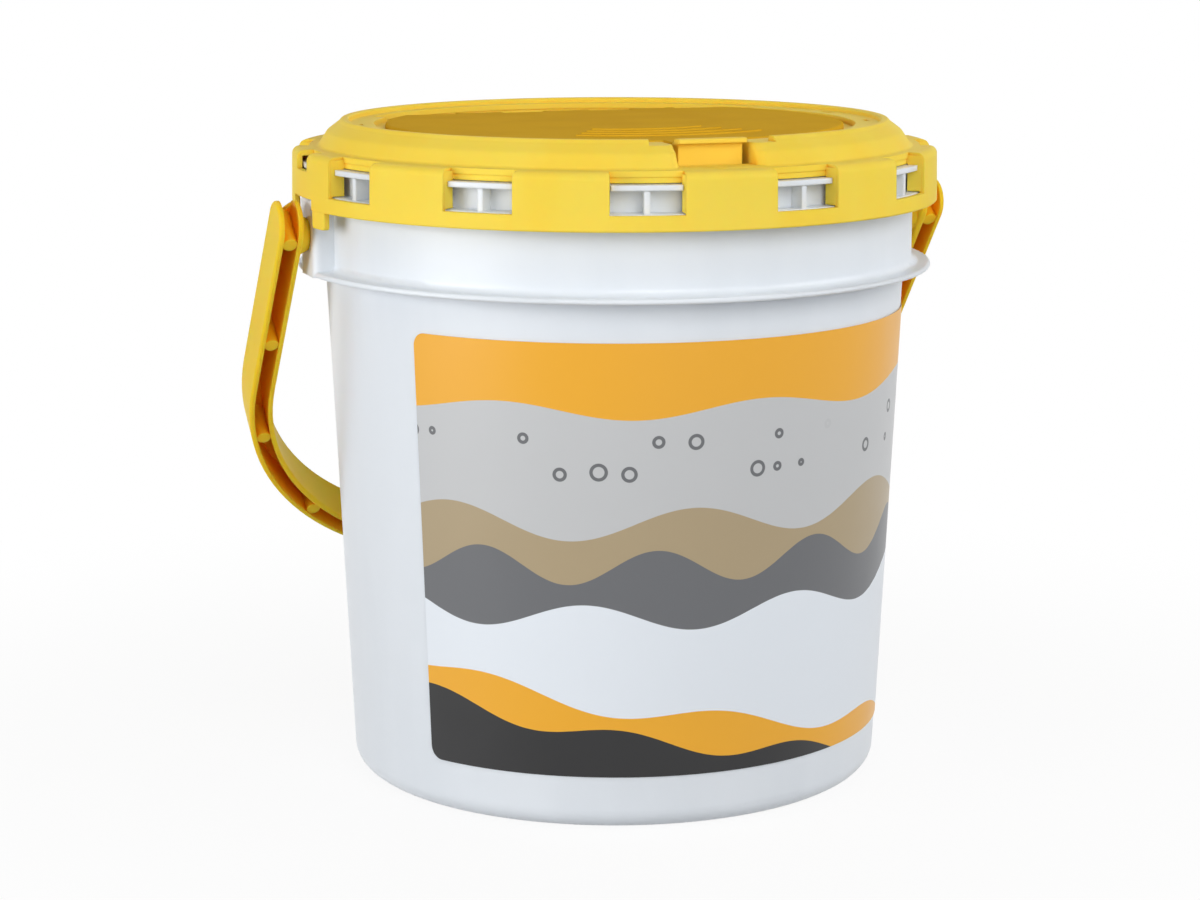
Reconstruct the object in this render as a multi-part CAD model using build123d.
from build123d import *
from math import asin, atan2, cos, degrees, hypot, pi, radians, sin, tan
import os

# Insulated bait bucket: a white pail with a foam liner, a yellow snap-fit lid ring,
# a D-shaped access hatch with a flexing latch, and a swinging channel-section bail.
# Millimetres. Origin at the centre of the resting face, +Z up, latch towards -Y,
# hatch hinge towards +Y, ears of the bail on +X and -X.

# Fits
SEAT_GAP = 0.3
FOAM_FIT = 0.4
PIVOT_FIT = 0.08
SWING_GAP = 0.5
RIM_FIT = 0.5

# How far a cutter runs past the faces that it opens
CUT_REACH = 5.0

# Roundings of small edges
FINE_ROUND = 0.4
EDGE_ROUND = 0.8
SOFT_ROUND = 1.5

# Bucket
BUCKET_HEIGHT = 243.7
BASE_R = 103.7
WALL_TAPER = 2.65
SHELL_WALL = 2.0
FLOOR_THICK = 2.4
BASE_CORNER_R = 8.0
BASE_RECESS = 0.8
BASE_RECESS_WIDTH = 23.7
STAND_RING_WIDTH = 12.0
COLLAR_HEIGHT = 44.3
COLLAR_STEP = 3.07
FLANGE_REACH = 7.3
FLANGE_THICK = 2.1
FLANGE_ROOT_ROUND = 2.5

# Ribbed rim of the bucket
RIM_BAR_REACH = 6.5
RIM_LIP = 2.1
TOP_BAR_THICK = 2.0
LOW_BAR_THICK = 1.5
BAR_GAP = 8.2
RIM_RIB_THICK = 2.2

# Bail ears on the bucket
EAR_REACH = 7.5
EAR_WIDTH = 21.0
EAR_HEIGHT = 27.2
EAR_WALL = 2.2
EAR_ROUND = 3.0
PIVOT_ABOVE_FLANGE = 13.5

# Foam liner
FOAM_WALL = 21.6
FOAM_FLOOR = 20.0
FOAM_COVE = 14.0
FOAM_TOP_DROP = 9.7
FOAM_LIP_WALL = 14.0
FOAM_STEP_DEPTH = 12.0
FOAM_COLLAR_HEIGHT = 29.0

# Lid ring
SKIRT_FLARE = 0.4
SKIRT_WALL = 2.0
SKIRT_DEPTH = 21.2
RING_WALL = 2.2
SHOULDER_ROUND = 3.0
CONE_INSET = 1.0
CONE_WIDTH = 8.0
CONE_BEND_INSET = 3.5
CONE_BEND_RISE = 5.4
CONE_RISE = 8.8
CONE_BEND_ROUND = 4.0
BEAD_WIDTH = 2.8
BEAD_INSET = 1.0
BEAD_RISE = 10.0
BEAD_DRAFT = 0.3
LAND_RISE = 8.0
LAND_WIDTH = 13.5
GROOVE_WIDTH = 4.5
GROOVE_DEPTH = 2.3
SEAT_WIDTH = 9.5

# Windows in the skirt
WINDOWS_PER_SIDE = 6
WINDOW_PITCH = 28.3
WINDOW_WIDTH = 27.0
WINDOW_SILL = 5.8
WINDOW_BACK_GAP = 2.5
CHEEK_THICK = 1.8
EAR_WINDOW_WIDTH = 15.0
EAR_WINDOW_SILL = 14.0

# Skirt details beside the ears
EAR_NOTCH_WIDTH = 25.6
EAR_NOTCH_RISE = 4.0
TAB_WIDTH = 11.6
TAB_ANGLE = 8.8
TAB_DROP = 6.4

# Vent slots in the land
VENT_COUNT = 8
VENT_STEP = 25.0
VENT_LENGTH = 7.0
VENT_WIDTH = 2.0

# Well behind the hatch
WELL_UNDERCUT = 5.5
WELL_LIP = 0.4
WELL_DEPTH = 15.9
WELL_WIDTH = 38.5
CHORD_LAP = 1.5

# Hatch
HATCH_THICK = 2.2
HATCH_EDGE_ROUND = 1.2
RIM_SKIRT_DEPTH = 2.8
RIM_SKIRT_WALL = 2.0
HINGE_BACKSET = 4.0
HINGE_BAR_R = 1.5
KNUCKLE_R = 4.0
KNUCKLE_WIDTH = 18.6
KNUCKLE_COUNT = 3
KNUCKLE_SLOT = 2.2
HINGE_POST = 3.0
PEG_R = 1.4
PEG_LENGTH = 4.0

# Plain raised arcs on the hatch
ARC_COUNT = 4
ARC_INNER_R = 40.0
ARC_PITCH = 9.5
ARC_WIDTH = 3.2
ARC_RISE = 0.6
ARC_SPAN = 62.0

# Latch
NOTCH_WIDTH = 30.0
NOTCH_ROUND = 4.0
BEAD_GAP_WIDTH = 48.6
LATCH_WIDTH = 24.6
LATCH_SETBACK = 4.7
LATCH_ROOT_INSET = 5.3
LATCH_WALL = 2.0
LATCH_TAIL = 7.0
WEB_REACH = 6.8
BRIDGE_LAP = 5.0
LIP_REACH = 3.0
LIP_RISE = 1.6
LIP_WIDTH = 26.0
LATCH_GAP = 1.0
CATCH_NOSE = 0.7

# Bail
BAIL_OFFSET = 8.5
BAIL_THICK = 9.5
BAIL_WIDTH = 18.5
BAIL_WALL = 2.0
BAIL_LIFT = 27.0
GRIP_LENGTH = 44.0
BAIL_END = 14.5
BAIL_EDGE_ROUND = 1.2
END_NOTCH_DROP = 5.5
END_NOTCH_DEPTH = 4.0
POST_R = 2.85
POST_ABOVE_PIVOT = 3.0
POST_BELOW_LIP = 0.7
POST_INTERVALS = 5
BOSS_R = 6.4
BOSS_FLARE = 1.6
STUD_R = 6.0
STUD_HEAD_R = 7.4
STUD_HEAD_LENGTH = 2.4
STUD_SLIT = 1.4

# Printed label
LABEL_THICK = 0.15
LABEL_START_ANGLE = -60.3
LABEL_END_ANGLE = 98.0
LABEL_BOTTOM = 21.0
LABEL_HEADROOM = 15.2
LABEL_CORNER = 5.0

# Heights and radii that follow from the sizes above
TAPER = tan(radians(WALL_TAPER))
FLANGE_Z = BUCKET_HEIGHT - COLLAR_HEIGHT
FLANGE_TOP = FLANGE_Z + FLANGE_THICK
COLLAR_R = BASE_R + TAPER * FLANGE_Z + COLLAR_STEP
FLANGE_R = COLLAR_R + FLANGE_REACH
RIM_BAR_R = COLLAR_R + RIM_BAR_REACH
EAR_FACE = COLLAR_R + EAR_REACH
FOAM_R = COLLAR_R - SHELL_WALL - FOAM_FIT
TOP_BAR_Z = BUCKET_HEIGHT - RIM_LIP - TOP_BAR_THICK
LOW_BAR_Z = TOP_BAR_Z - BAR_GAP - LOW_BAR_THICK
PIVOT_Z = FLANGE_TOP + PIVOT_ABOVE_FLANGE
SKIRT_R = RIM_BAR_R + RIM_FIT + SKIRT_WALL
WINDOW_BACK_R = COLLAR_R + WINDOW_BACK_GAP
CONE_FOOT_R = COLLAR_R - CONE_INSET
CONE_TOP_R = CONE_FOOT_R - CONE_WIDTH
CONE_BEND_R = CONE_FOOT_R - CONE_BEND_INSET
LAND_INNER_R = CONE_TOP_R - LAND_WIDTH
SEAT_INNER_R = LAND_INNER_R - SEAT_WIDTH
WELL_R = LAND_INNER_R + WELL_UNDERCUT
HATCH_CHORD_Y = LAND_INNER_R - WELL_WIDTH
LATCH_FACE_R = CONE_TOP_R - LATCH_SETBACK
LATCH_ROOT_R = LATCH_FACE_R - LATCH_ROOT_INSET
DECK_UNDER = BUCKET_HEIGHT + SEAT_GAP
DECK_TOP = DECK_UNDER + RING_WALL
SKIRT_BOTTOM = DECK_TOP + SEAT_GAP - SKIRT_DEPTH
LAND_TOP = DECK_TOP + LAND_RISE
SEAT_TOP = LAND_TOP - GROOVE_DEPTH
HATCH_R = LAND_INNER_R - GROOVE_WIDTH
HATCH_UNDER = SEAT_TOP + SEAT_GAP
HATCH_TOP = HATCH_UNDER + HATCH_THICK
HINGE_Y = HATCH_CHORD_Y + HINGE_BACKSET
HINGE_Z = HATCH_TOP - KNUCKLE_R
WELL_FRONT_Y = HATCH_CHORD_Y - CHORD_LAP
WELL_FLOOR = LAND_TOP - WELL_DEPTH
LATCH_ROOT_Z = HATCH_UNDER + HATCH_THICK / 2
DECK_EDGE_R = LATCH_FACE_R + LATCH_GAP
BAIL_X = EAR_FACE + BAIL_OFFSET
BAIL_DROP = PIVOT_Z - BAIL_LIFT
BAIL_BEND_R = BAIL_X - GRIP_LENGTH / 2
CHANNEL = BAIL_THICK - 2 * BAIL_WALL
LABEL_TOP = FLANGE_Z - LABEL_HEADROOM


def wall_radius(height):
    """Outer radius of the tapered bucket wall."""
    return BASE_R + TAPER * height


def inner_radius(height):
    """Inner radius of the tapered bucket wall."""
    return wall_radius(height) - SHELL_WALL / cos(radians(WALL_TAPER))


def turned(outline, arc=360):
    """Solid of revolution from (radius, height, corner rounding) points, centred on -Y if partial."""
    with BuildSketch(Plane.XZ) as profile:
        with BuildLine():
            Polyline(*[(r, z) for r, z, _ in outline], close=True)
        make_face()
        for r, z, rounding in outline:
            if rounding:
                corner = profile.vertices().sort_by_distance((r, z, 0))[0]
                fillet(corner, rounding)
    body = revolve(profile.sketch, Axis.Z, arc)
    if arc == 360:
        return body
    return Rot(0, 0, -90 - arc / 2) * body


def ring(inner, outer, bottom, top):
    """Plain ring of rectangular section about the axis."""
    tube = Cylinder(outer, top - bottom) - Cylinder(inner, top - bottom)
    return Pos(0, 0, (bottom + top) / 2) * tube


def disc(radius, bottom, top):
    """Plain disc on the axis."""
    return Pos(0, 0, (bottom + top) / 2) * Cylinder(radius, top - bottom)


def block(x0, x1, y0, y1, z0, z1):
    """Box between two corners."""
    centre = Pos((x0 + x1) / 2, (y0 + y1) / 2, (z0 + z1) / 2)
    return centre * Box(x1 - x0, y1 - y0, z1 - z0)


def around(shape, angle):
    """Turn a feature made on the -Y side to an angle counted from the latch."""
    return Rot(0, 0, angle) * shape


def window_angles():
    """Angles of the skirt windows, six at the front and six at the back."""
    first = -WINDOW_PITCH * (WINDOWS_PER_SIDE - 1) / 2
    front = [first + WINDOW_PITCH * i for i in range(WINDOWS_PER_SIDE)]
    return front + [angle + 180 for angle in front]


def cheek_angles():
    """Angles of the webs on both sides of every window."""
    half = degrees(asin((WINDOW_WIDTH + CHEEK_THICK) / 2 / SKIRT_R))
    return [angle + side * half for angle in window_angles() for side in (-1, 1)]


def ear():
    """Hollow pad on the +X side that carries one end of the bail."""
    top = FLANGE_TOP + EAR_HEIGHT
    half = EAR_WIDTH / 2
    pad = block(COLLAR_R - SHELL_WALL, EAR_FACE, -half, half, FLANGE_Z, top)
    front = pad.edges().group_by(Axis.X)[-1].filter_by(Axis.Z)
    pad = fillet(front, EAR_ROUND)
    pad = fillet(pad.edges().group_by(Axis.Z)[-1], EAR_WALL / 2)
    return pad


def ear_pocket():
    """Space inside the pad, open to the inside of the collar, and the bore for the stud."""
    top = FLANGE_TOP + EAR_HEIGHT - EAR_WALL
    half = EAR_WIDTH / 2 - EAR_WALL
    inner = COLLAR_R - 2 * SHELL_WALL - EAR_WALL
    pocket = block(inner, EAR_FACE - EAR_WALL, -half, half, FLANGE_TOP, top)
    bore = Pos(EAR_FACE, 0, PIVOT_Z) * Rot(0, 90, 0) * Cylinder(STUD_R + PIVOT_FIT, 4 * EAR_WALL)
    return pocket + bore


def make_bucket_shell():
    """White pail: tapered wall, flange, collar, ribbed rim and the two bail ears."""
    recess_outer = BASE_R - BASE_CORNER_R - STAND_RING_WIDTH
    recess_inner = recess_outer - BASE_RECESS_WIDTH
    shell = turned([
        (0, 0, 0),
        (recess_inner, 0, 0),
        (recess_inner + BASE_RECESS, BASE_RECESS, 0),
        (recess_outer - BASE_RECESS, BASE_RECESS, 0),
        (recess_outer, 0, 0),
        (wall_radius(0), 0, BASE_CORNER_R),
        (wall_radius(FLANGE_Z), FLANGE_Z, EDGE_ROUND),
        (FLANGE_R, FLANGE_Z, EDGE_ROUND),
        (FLANGE_R, FLANGE_TOP, EDGE_ROUND),
        (COLLAR_R, FLANGE_TOP, FLANGE_ROOT_ROUND),
        (COLLAR_R, BUCKET_HEIGHT, FINE_ROUND),
        (COLLAR_R - SHELL_WALL, BUCKET_HEIGHT, FINE_ROUND),
        (COLLAR_R - SHELL_WALL, FLANGE_TOP, EDGE_ROUND),
        (inner_radius(FLANGE_TOP), FLANGE_TOP, EDGE_ROUND),
        (inner_radius(FLOOR_THICK), FLOOR_THICK, BASE_CORNER_R - SHELL_WALL),
        (0, FLOOR_THICK, 0),
    ])
    root_r = COLLAR_R - SHELL_WALL / 2
    top_bar = ring(root_r, RIM_BAR_R, TOP_BAR_Z, TOP_BAR_Z + TOP_BAR_THICK)
    half_gap = CHEEK_THICK / 2 + RIM_FIT
    gap = block(-half_gap, half_gap, -RIM_BAR_R - CUT_REACH, -WINDOW_BACK_R + RIM_FIT,
                TOP_BAR_Z - CUT_REACH, TOP_BAR_Z + CUT_REACH)
    top_bar -= [around(gap, angle) for angle in cheek_angles()]
    low_bar = ring(root_r, RIM_BAR_R, LOW_BAR_Z, LOW_BAR_Z + LOW_BAR_THICK)
    rib = block(-RIM_RIB_THICK / 2, RIM_RIB_THICK / 2, -RIM_BAR_R + RIM_FIT, -root_r,
                LOW_BAR_Z + LOW_BAR_THICK / 2, TOP_BAR_Z + TOP_BAR_THICK / 2)
    ribs = [around(rib, angle + step) for angle in window_angles() for step in (0, WINDOW_PITCH / 2)]
    shell += top_bar
    shell += low_bar
    shell += ribs
    for turn in (0, 180):
        shell += around(ear(), turn)
        shell -= around(ear_pocket(), turn)
    return shell


def make_foam_liner():
    """One-piece foam cup with a wide top in the collar and a stepped mouth."""
    bottom = FLOOR_THICK + SEAT_GAP
    top = BUCKET_HEIGHT - FOAM_TOP_DROP
    step = top - FOAM_STEP_DEPTH
    shoulder = top - FOAM_COLLAR_HEIGHT
    floor = bottom + FOAM_FLOOR

    def outer(height):
        return inner_radius(height) - FOAM_FIT

    return turned([
        (0, bottom, 0),
        (outer(bottom), bottom, BASE_CORNER_R),
        (outer(shoulder), shoulder, 0),
        (FOAM_R, shoulder, SOFT_ROUND),
        (FOAM_R, top, SOFT_ROUND),
        (FOAM_R - FOAM_LIP_WALL, top, SOFT_ROUND),
        (FOAM_R - FOAM_LIP_WALL, step, EDGE_ROUND),
        (outer(step) - FOAM_WALL, step, SOFT_ROUND),
        (outer(floor) - FOAM_WALL, floor, FOAM_COVE),
        (0, floor, 0),
    ])


def ring_outline():
    """Section of the lid ring, from the foot of the skirt over the bead to the hatch seat."""
    bead_top = DECK_TOP + BEAD_RISE
    bead_outer = CONE_TOP_R - BEAD_INSET
    bead_inner = bead_outer - BEAD_WIDTH
    cone_bend = DECK_TOP + CONE_BEND_RISE
    cone_top = DECK_TOP + CONE_RISE
    land_under = LAND_TOP - RING_WALL
    return [
        (SKIRT_R + SKIRT_FLARE, SKIRT_BOTTOM, FINE_ROUND),
        (SKIRT_R, DECK_TOP, SHOULDER_ROUND),
        (CONE_FOOT_R, DECK_TOP, SOFT_ROUND),
        (CONE_BEND_R, cone_bend, CONE_BEND_ROUND),
        (CONE_TOP_R, cone_top, EDGE_ROUND),
        (bead_outer, bead_top, EDGE_ROUND),
        (bead_inner, bead_top, EDGE_ROUND),
        (bead_inner - BEAD_DRAFT, LAND_TOP, FINE_ROUND),
        (LAND_INNER_R, LAND_TOP, 0),
        (LAND_INNER_R - BEAD_DRAFT, SEAT_TOP, FINE_ROUND),
        (SEAT_INNER_R, SEAT_TOP, FINE_ROUND),
        (SEAT_INNER_R, SEAT_TOP - RING_WALL, FINE_ROUND),
        (LAND_INNER_R + RING_WALL, SEAT_TOP - RING_WALL, 0),
        (LAND_INNER_R + RING_WALL, land_under, 0),
        (bead_inner + BEAD_INSET, land_under, 0),
        (CONE_BEND_R - RING_WALL, cone_bend - RING_WALL / 2, 0),
        (CONE_FOOT_R - RING_WALL, DECK_UNDER, 0),
        (SKIRT_R - SKIRT_WALL, DECK_UNDER, 0),
        (SKIRT_R + SKIRT_FLARE - SKIRT_WALL, SKIRT_BOTTOM, FINE_ROUND),
    ]


def latch_bay():
    """Fill under the ring's skin around the latch, so that its notch gets side walls."""
    skin = RING_WALL / 2
    half = degrees(asin((NOTCH_WIDTH / 2 + RING_WALL + NOTCH_ROUND) / CONE_FOOT_R))
    return turned([
        (CONE_FOOT_R - skin, DECK_UNDER + skin / 2, 0),
        (CONE_FOOT_R - skin, DECK_TOP - skin / 2, 0),
        (CONE_BEND_R - skin, DECK_TOP + CONE_BEND_RISE - skin / 2, 0),
        (CONE_TOP_R - skin, DECK_TOP + CONE_RISE - skin, 0),
        (LAND_INNER_R + skin, LAND_TOP - skin, 0),
        (LAND_INNER_R + skin, SEAT_TOP - skin, 0),
        (LAND_INNER_R + 3 * skin, DECK_UNDER + skin / 2, 0),
    ], 2 * half)


def notch_corner(outer, bottom, inward, rise):
    """Cutter that rounds the notch's corner on the +X side, along one slope of the cone."""
    half = NOTCH_WIDTH / 2
    x = half + NOTCH_ROUND
    y = -((outer - NOTCH_ROUND) ** 2 - x ** 2) ** 0.5
    touch = Vector(x, y) * (outer / (outer - NOTCH_ROUND))
    middle = Vector(x, y) + (touch - Vector(x, y) + Vector(-NOTCH_ROUND, 0)).normalized() * NOTCH_ROUND
    far = -outer - CUT_REACH
    with BuildSketch() as corner:
        with BuildLine():
            ThreePointArc((touch.X, touch.Y), (middle.X, middle.Y), (half, y))
            Polyline((half, y), (half - SEAT_GAP, y), (half - SEAT_GAP, far), (touch.X, far),
                     (touch.X, touch.Y))
        make_face()
    slope = Vector(0, inward, rise)
    return extrude(Pos(0, 0, bottom) * corner.sketch, slope.length, dir=slope.normalized())


def latch_notch():
    """Space of the latch: a bay above the deck and a slot through it."""
    half = NOTCH_WIDTH / 2
    outer = SKIRT_R + CUT_REACH
    back = -SEAT_INNER_R - SHELL_WALL
    top = DECK_TOP + 2 * BEAD_RISE
    above = block(-half, half, -outer, back, DECK_TOP + SEAT_GAP, top)
    slot = block(-half, half, -DECK_EDGE_R, back, DECK_UNDER - RING_WALL, DECK_TOP + RING_WALL)
    inner = LAND_INNER_R + RING_WALL
    bead = turned([
        (inner, LAND_TOP, 0), (outer, LAND_TOP, 0), (outer, top, 0), (inner, top, 0),
    ], degrees(BEAD_GAP_WIDTH / CONE_TOP_R))
    low_corner = notch_corner(CONE_FOOT_R, DECK_TOP + SEAT_GAP, CONE_BEND_INSET, CONE_BEND_RISE)
    high_corner = notch_corner(CONE_BEND_R, DECK_TOP + CONE_BEND_RISE, CONE_WIDTH - CONE_BEND_INSET,
                               CONE_RISE - CONE_BEND_RISE)
    corners = low_corner + high_corner
    return above + slot + bead + corners + mirror(corners, Plane.YZ)


def well():
    """Sunk well behind the hatch: curved back wall, straight front wall and floor."""
    under = WELL_FLOOR - RING_WALL
    front = WELL_FRONT_Y - RING_WALL
    outer = WELL_R + RING_WALL
    reach = outer + CUT_REACH
    behind = block(-reach, reach, front, reach, under, LAND_TOP)
    back_wall = ring(WELL_R, outer, under, LAND_TOP - RING_WALL / 2) & behind
    floor = disc(outer, under, WELL_FLOOR) & behind
    front_wall = disc(outer, under, SEAT_TOP) & block(-reach, reach, front, WELL_FRONT_Y, under, SEAT_TOP)
    return back_wall + floor + front_wall


def hinge_mount():
    """Hinge bar of the hatch and the posts that carry it in the well."""
    outer_post = KNUCKLE_COUNT * KNUCKLE_WIDTH - KNUCKLE_WIDTH / 2 + HINGE_POST
    bar = Pos(0, HINGE_Y, HINGE_Z) * Rot(0, 90, 0) * Cylinder(HINGE_BAR_R, 2 * outer_post)
    inner_posts = [KNUCKLE_WIDTH * (2 * i - KNUCKLE_COUNT + 2) for i in range(KNUCKLE_COUNT - 1)]
    back = HINGE_Y + HINGE_BAR_R + FINE_ROUND
    foot = WELL_FLOOR - RING_WALL / 2
    for x in [-outer_post, outer_post] + inner_posts:
        bar += block(x - HINGE_POST / 2, x + HINGE_POST / 2, WELL_FRONT_Y - RING_WALL / 2, back,
                     foot, HINGE_Z + 0.8 * HINGE_BAR_R)
    return bar


def skirt_back_wall():
    """Set-back wall that closes the top of a window behind the rim bar."""
    arc = degrees(2 * asin((WINDOW_WIDTH / 2 + CHEEK_THICK) / SKIRT_R))
    bottom = TOP_BAR_Z + TOP_BAR_THICK + SEAT_GAP
    top = DECK_UNDER + RING_WALL / 2
    outer = WINDOW_BACK_R - SEAT_GAP
    inner = outer - SKIRT_WALL
    return turned([(inner, bottom, 0), (outer, bottom, 0), (outer, top, 0), (inner, top, 0)], arc)


def cheek():
    """Web beside a window, down through the gap in the rim bar and joined to the set-back wall above."""
    half = CHEEK_THICK / 2
    front = -SKIRT_R + SKIRT_WALL / 2
    top = DECK_UNDER + RING_WALL / 2
    web = block(-half, half, front, -WINDOW_BACK_R, LOW_BAR_Z + LOW_BAR_THICK + SEAT_GAP, top)
    back = -WINDOW_BACK_R + SKIRT_WALL / 2
    joint = block(-half, half, front, back, TOP_BAR_Z + TOP_BAR_THICK + SEAT_GAP, top)
    return web + joint


def skirt_opening(width, bottom, inner, top):
    """Cutter through the skirt on the latch side."""
    outer = SKIRT_R + CUT_REACH
    return ring(inner, outer, bottom, top) & block(-width / 2, width / 2, -outer, 0, bottom, top)


def skirt_tab():
    """Tab that hangs from the foot of the skirt."""
    outer = SKIRT_R + SKIRT_FLARE / 2
    half = TAB_WIDTH / 2
    low = SKIRT_BOTTOM - TAB_DROP
    high = SKIRT_BOTTOM + SKIRT_WALL
    tab = ring(outer - SKIRT_WALL, outer, low, high) & block(-half, half, -2 * outer, 0, low, high)
    return fillet(tab.edges().group_by(Axis.Z)[0].filter_by(Axis.Y), SOFT_ROUND)


def vent_slot():
    """Cutter for one vent slot through the land."""
    middle = (LAND_INNER_R + CONE_TOP_R - BEAD_WIDTH) / 2
    return block(-VENT_LENGTH / 2, VENT_LENGTH / 2, -middle - VENT_WIDTH / 2, -middle + VENT_WIDTH / 2,
                 LAND_TOP - 2 * RING_WALL, LAND_TOP + CUT_REACH)


def make_lid_ring():
    """Yellow snap-fit ring: windowed skirt, shoulder, cone, bead, land, hatch seat and rear well."""
    lid = turned(ring_outline()) + latch_bay()
    above = DECK_TOP + 2 * BEAD_RISE
    window = skirt_opening(WINDOW_WIDTH, SKIRT_BOTTOM + WINDOW_SILL, WINDOW_BACK_R, above)
    ear_window = skirt_opening(EAR_WINDOW_WIDTH, SKIRT_BOTTOM + EAR_WINDOW_SILL, WINDOW_BACK_R, above)
    notch_top = SKIRT_BOTTOM + EAR_NOTCH_RISE
    ear_notch = skirt_opening(EAR_NOTCH_WIDTH, SKIRT_BOTTOM - CUT_REACH, WINDOW_BACK_R, notch_top)
    reach = WELL_R + CUT_REACH
    behind = block(-reach, reach, WELL_FRONT_Y - RING_WALL / 2, reach, WELL_FLOOR, above)
    cutters = [latch_notch(), disc(WELL_R - WELL_LIP, WELL_FLOOR, above) & behind]
    cutters += [around(window, angle) for angle in window_angles()]
    cutters += [around(cut, angle) for cut in (ear_window, ear_notch) for angle in (90, 270)]
    cutters += [around(vent_slot(), side * VENT_STEP * (i + 1))
                for i in range(VENT_COUNT // 2) for side in (-1, 1)]
    lid -= cutters
    # Webs on both sides of each window, its set-back upper wall, and the tabs beside the ears
    additions = [around(cheek(), angle) for angle in cheek_angles()]
    additions += [around(skirt_back_wall(), angle) for angle in window_angles()]
    additions += [around(skirt_tab(), angle + side * TAB_ANGLE) for angle in (90, 270) for side in (-1, 1)]
    return lid + additions + [well(), hinge_mount()]


def knuckle():
    """Hinge clip of the hatch: a barrel round the bar, open below and slotted on top."""
    axis = Pos(0, HINGE_Y, HINGE_Z) * Rot(0, 90, 0)
    half = KNUCKLE_WIDTH / 2
    clip = axis * Cylinder(KNUCKLE_R, KNUCKLE_WIDTH)
    clip += block(-half, half, HATCH_CHORD_Y - 1, HINGE_Y, HATCH_UNDER, HATCH_TOP)
    clip -= axis * Cylinder(HINGE_BAR_R + PIVOT_FIT, KNUCKLE_WIDTH + 2)
    clip -= block(-half - 1, half + 1, HINGE_Y - KNUCKLE_SLOT / 2, HINGE_Y + KNUCKLE_SLOT / 2,
                  HINGE_Z - 2 * KNUCKLE_R, HINGE_Z)
    clip -= block(-half + 3, half - 3, HINGE_Y - KNUCKLE_SLOT / 2, HINGE_Y + KNUCKLE_SLOT / 2,
                  HINGE_Z, HATCH_TOP + 1)
    return clip


def raised_arcs():
    """Plain raised arcs on the front half of the hatch."""
    arcs = []
    for i in range(ARC_COUNT):
        inner = ARC_INNER_R + ARC_PITCH * i
        outer = inner + ARC_WIDTH
        top = HATCH_TOP + ARC_RISE
        arcs.append(turned([
            (inner, HATCH_TOP - ARC_RISE, 0), (outer, HATCH_TOP - ARC_RISE, 0),
            (outer - ARC_RISE / 2, top, 0), (inner + ARC_RISE / 2, top, 0),
        ], ARC_SPAN))
    return arcs


def make_hatch_cover():
    """D-shaped hatch plate with its locating rim, hinge clips and the bridge to the latch."""
    plate = Pos(0, 0, (HATCH_UNDER + HATCH_TOP) / 2) * Cylinder(HATCH_R, HATCH_THICK)
    reach = 2 * HATCH_R
    plate -= block(-reach, reach, HATCH_CHORD_Y, reach, 0, 2 * HATCH_TOP)
    half = LATCH_WIDTH / 2
    plate += block(-half, half, -LATCH_ROOT_R, -HATCH_R + BRIDGE_LAP, HATCH_UNDER, HATCH_TOP)
    top_edges = plate.faces().sort_by(Axis.Z)[-1].edges()
    plate = fillet(top_edges.filter_by(GeomType.CIRCLE), HATCH_EDGE_ROUND)
    rim_r = SEAT_INNER_R - FOAM_FIT
    rim = ring(rim_r - RIM_SKIRT_WALL, rim_r, HATCH_UNDER - RIM_SKIRT_DEPTH, HATCH_UNDER + 0.5)
    rim -= block(-reach, reach, WELL_FRONT_Y - 2 * RING_WALL, reach, 0, 2 * HATCH_TOP)
    plate += rim
    spread = 2 * KNUCKLE_WIDTH
    for i in range(KNUCKLE_COUNT):
        plate += Pos(spread * (i - (KNUCKLE_COUNT - 1) / 2), 0, 0) * knuckle()
    plate += Pos(0, 0, HATCH_UNDER - PEG_LENGTH / 2) * Cylinder(PEG_R, PEG_LENGTH)
    plate += raised_arcs()
    socket = Pos(0, -LATCH_ROOT_R, LATCH_ROOT_Z) * Rot(0, 90, 0)
    plate -= socket * Cylinder(HATCH_THICK / 2 + SEAT_GAP, LATCH_WIDTH + 2)
    return plate


def latch_section(points, width):
    """Prism across the latch from (radius, height) points."""
    with BuildSketch(Plane.YZ) as section:
        with BuildLine():
            Polyline(*[(-r, z) for r, z in points], close=True)
        make_face()
    return extrude(section.sketch, width / 2, both=True)


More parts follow.
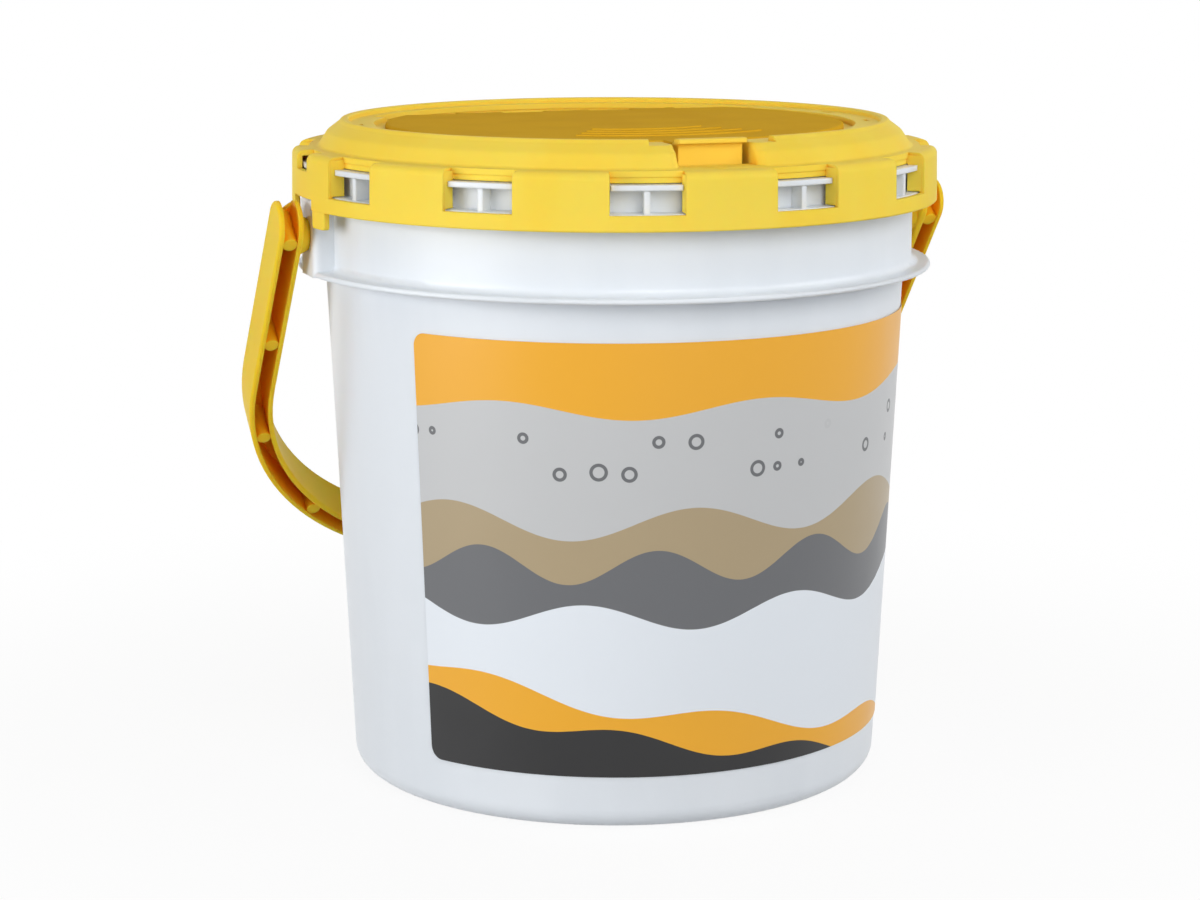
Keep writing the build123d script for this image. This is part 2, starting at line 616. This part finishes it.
def make_latch_tongue():
    """Flexing tongue: rounded root, thumb lip, front face, catch nose and tapered side webs."""
    face = LATCH_FACE_R
    inner = face - LATCH_WALL
    catch = DECK_UNDER - SEAT_GAP
    tip = catch - LATCH_TAIL
    root = Pos(0, -LATCH_ROOT_R, LATCH_ROOT_Z) * Rot(0, 90, 0) * Cylinder(HATCH_THICK / 2, LATCH_WIDTH)
    top = latch_section([
        (LATCH_ROOT_R, HATCH_UNDER), (LATCH_ROOT_R, HATCH_TOP),
        (face, HATCH_TOP), (face, HATCH_UNDER),
    ], LATCH_WIDTH)
    lip = latch_section([
        (inner, HATCH_TOP - 0.5), (inner, HATCH_TOP + LIP_RISE - 0.6), (inner + 0.6, HATCH_TOP + LIP_RISE),
        (face + LIP_REACH - 0.5, HATCH_TOP + LIP_RISE), (face + LIP_REACH, HATCH_TOP + LIP_RISE - 0.5),
        (face + LIP_REACH, HATCH_TOP), (face, HATCH_TOP - 0.5),
    ], LIP_WIDTH)
    skin = latch_section([
        (inner, HATCH_UNDER + 0.5), (face, HATCH_UNDER + 0.5), (face, catch),
        (face + CATCH_NOSE, catch - 0.4), (face + CATCH_NOSE, catch - 1.6), (face, catch - 3.0),
        (LATCH_ROOT_R, tip), (LATCH_ROOT_R - LATCH_WALL, tip), (inner, catch - 3.0),
    ], LATCH_WIDTH)
    web = latch_section([
        (LATCH_ROOT_R + 1.4, HATCH_UNDER + 0.2), (face - 0.5, HATCH_UNDER + 0.2), (face - 0.5, catch - 3.0),
        (LATCH_ROOT_R - 0.5, tip + 0.3), (LATCH_ROOT_R - 3.0, tip + 0.3),
        (LATCH_ROOT_R - WEB_REACH, tip + 4.0), (LATCH_ROOT_R - WEB_REACH, catch),
    ], LATCH_WALL)
    shift = (LATCH_WIDTH - LATCH_WALL) / 2
    return root + top + lip + skin + Pos(shift, 0, 0) * web + Pos(-shift, 0, 0) * web


def bail_area(offset, top):
    """Area inside the bail's centre line, grown outward by offset, open at the top."""
    half = BAIL_X + offset
    depth = BAIL_DROP + offset
    with BuildSketch(Plane.XZ) as area:
        with Locations((0, (top - depth) / 2)):
            Rectangle(2 * half, top + depth)
        fillet(area.vertices().group_by(Axis.Y)[0], BAIL_BEND_R + offset)
    return area.sketch


def bail_band(outer, inner, top):
    """Flat band between two offsets of the bail's centre line."""
    return bail_area(outer, top) - bail_area(inner, top + BAIL_WIDTH)


def bail_point(length):
    """Place on the centre line at a length from the pivot, on the +X side."""
    straight = BAIL_DROP - BAIL_BEND_R
    bend = BAIL_BEND_R * pi / 2
    if length <= straight:
        return BAIL_X, -length
    if length <= straight + bend:
        turn = (length - straight) / BAIL_BEND_R
        return BAIL_X - BAIL_BEND_R * (1 - cos(turn)), -straight - BAIL_BEND_R * sin(turn)
    return BAIL_X - BAIL_BEND_R - (length - straight - bend), -BAIL_DROP


def bail_rest_angle():
    """Angle from straight down at which the grip leans on the bucket's back wall."""
    reach = BAIL_DROP - BAIL_THICK / 2
    half = BAIL_WIDTH / 2
    a = reach + TAPER * half
    b = TAPER * reach - half
    c = BASE_R + SWING_GAP / cos(radians(WALL_TAPER)) + TAPER * PIVOT_Z
    return degrees(asin(c / hypot(a, b)) - atan2(b, a))


def bail_stud():
    """Boss and split snap stud on the inner face of the +X arm, made about the pivot."""
    face = BAIL_X - BAIL_THICK / 2
    boss_end = EAR_FACE + SWING_GAP
    head_start = EAR_FACE - EAR_WALL - SEAT_GAP
    head_end = head_start - STUD_HEAD_LENGTH
    along = Rot(0, 90, 0)
    boss = Pos((face + boss_end) / 2, 0, 0) * along * Cone(BOSS_R, BOSS_R + BOSS_FLARE, face - boss_end)
    stud = Pos((face + head_start) / 2, 0, 0) * along * Cylinder(STUD_R, face - head_start)
    head = Cone(STUD_R, STUD_HEAD_R, STUD_HEAD_LENGTH)
    head = Pos((head_start + head_end) / 2, 0, 0) * along * head
    stud += head
    reach = 2 * STUD_HEAD_R
    stud -= block(head_end - 1, EAR_FACE - 0.5, -STUD_SLIT / 2, STUD_SLIT / 2, -reach, reach)
    return boss + stud


def end_notch():
    """Cutter for the V in the channel's floor at the arm's end, made about the pivot."""
    half = CHANNEL / 2
    corner = BAIL_END - END_NOTCH_DROP
    with BuildSketch(Plane.XZ) as vee:
        with BuildLine():
            Polyline((-half, BAIL_END), (half, BAIL_END), (half, corner), (0, corner - END_NOTCH_DEPTH),
                     (-half, corner), close=True)
        make_face()
    return extrude(vee.sketch, -BAIL_WIDTH)


def make_bail_handle():
    """Yellow channel-section bail, built hanging from its pivot and turned to its rest."""
    half_width = BAIL_WIDTH / 2
    band = extrude(bail_band(BAIL_THICK / 2, -BAIL_THICK / 2, BAIL_END), half_width, both=True)
    with BuildSketch(Plane.YZ) as side:
        with Locations((0, (BAIL_END - 2 * BAIL_DROP) / 2)):
            Rectangle(BAIL_WIDTH, BAIL_END + 2 * BAIL_DROP)
        fillet(side.vertices().group_by(Axis.Y)[-1], half_width - 0.05)
    band &= extrude(side.sketch, BAIL_X + BAIL_WIDTH, both=True)
    flats = [band.faces().filter_by(Axis.Y).sort_by(Axis.Y)[i] for i in (0, -1)]
    band = fillet([edge for flat in flats for edge in flat.edges()], BAIL_EDGE_ROUND)
    channel = extrude(bail_band(CHANNEL / 2, -CHANNEL / 2, BAIL_END + CUT_REACH), BAIL_WIDTH - BAIL_WALL)
    band -= Pos(0, channel_shift(channel), 0) * channel
    band -= [Pos(side * BAIL_X, 0, 0) * end_notch() for side in (-1, 1)]
    grip_middle = BAIL_DROP - BAIL_BEND_R + BAIL_BEND_R * pi / 2 + BAIL_X - BAIL_BEND_R
    height = BAIL_WIDTH - BAIL_WALL / 2 - POST_BELOW_LIP
    for i in range(POST_INTERVALS + 1):
        x, z = bail_point((grip_middle + POST_ABOVE_PIVOT) * i / POST_INTERVALS - POST_ABOVE_PIVOT)
        post = Rot(90, 0, 0) * Cylinder(POST_R, height)
        middle = half_width - BAIL_WALL / 2 - height / 2
        band += Pos(x, middle, z) * post
        band += Pos(-x, middle, z) * post
    band += bail_stud()
    band += Rot(0, 0, 180) * bail_stud()
    return Pos(0, 0, PIVOT_Z) * Rot(bail_rest_angle(), 0, 0) * band


def channel_shift(channel):
    """Shift that puts the channel's floor one wall short of the bail's back."""
    return BAIL_WIDTH / 2 - BAIL_WALL - channel.bounding_box().max.Y


def label_corner(angle, height, side, up):
    """Cutter that rounds one corner of the label."""
    size = 1.2 * LABEL_CORNER
    reach = wall_radius(height) + CUT_REACH
    square = block(0, size, -reach, -reach + 2 * CUT_REACH, 0, size)
    round_part = Pos(0, CUT_REACH - reach, 0) * Rot(90, 0, 0) * Cylinder(LABEL_CORNER, 3 * CUT_REACH)
    corner = square - round_part
    inward = degrees(LABEL_CORNER / wall_radius(height))
    turned_corner = Pos(0, 0, height - up * LABEL_CORNER) * (corner if up > 0 else mirror(corner, Plane.XY))
    if side < 0:
        turned_corner = mirror(turned_corner, Plane.YZ)
    return around(turned_corner, angle - side * inward)


def make_wrap_label():
    """Thin printed film on the tapered wall, with rounded corners."""
    inner_low = wall_radius(LABEL_BOTTOM) + SEAT_GAP
    inner_high = wall_radius(LABEL_TOP) + SEAT_GAP
    skin = turned([
        (inner_low, LABEL_BOTTOM, 0),
        (inner_low + LABEL_THICK, LABEL_BOTTOM, 0),
        (inner_high + LABEL_THICK, LABEL_TOP, 0),
        (inner_high, LABEL_TOP, 0),
    ], LABEL_END_ANGLE - LABEL_START_ANGLE)
    skin = around(skin, (LABEL_START_ANGLE + LABEL_END_ANGLE) / 2)
    corners = [label_corner(angle, height, side, up)
               for angle, side in ((LABEL_START_ANGLE, -1), (LABEL_END_ANGLE, 1))
               for height, up in ((LABEL_BOTTOM, -1), (LABEL_TOP, 1))]
    return skin - corners


def main():
    os.makedirs("parts", exist_ok=True)
    pieces = {
        "bucket_shell": make_bucket_shell(),
        "foam_liner": make_foam_liner(),
        "wrap_label": make_wrap_label(),
        "lid_ring": make_lid_ring(),
        "hatch_cover": make_hatch_cover(),
        "latch_tongue": make_latch_tongue(),
        "bail_handle": make_bail_handle(),
    }
    for name, shape in pieces.items():
        export_step(shape, "parts/" + name + ".step")
    print("pivot height", round(PIVOT_Z, 3), "bail rest angle", round(bail_rest_angle(), 3))
    print("hatch hinge", HINGE_Y, round(HINGE_Z, 3), "latch root", LATCH_ROOT_R, round(LATCH_ROOT_Z, 3))


main()
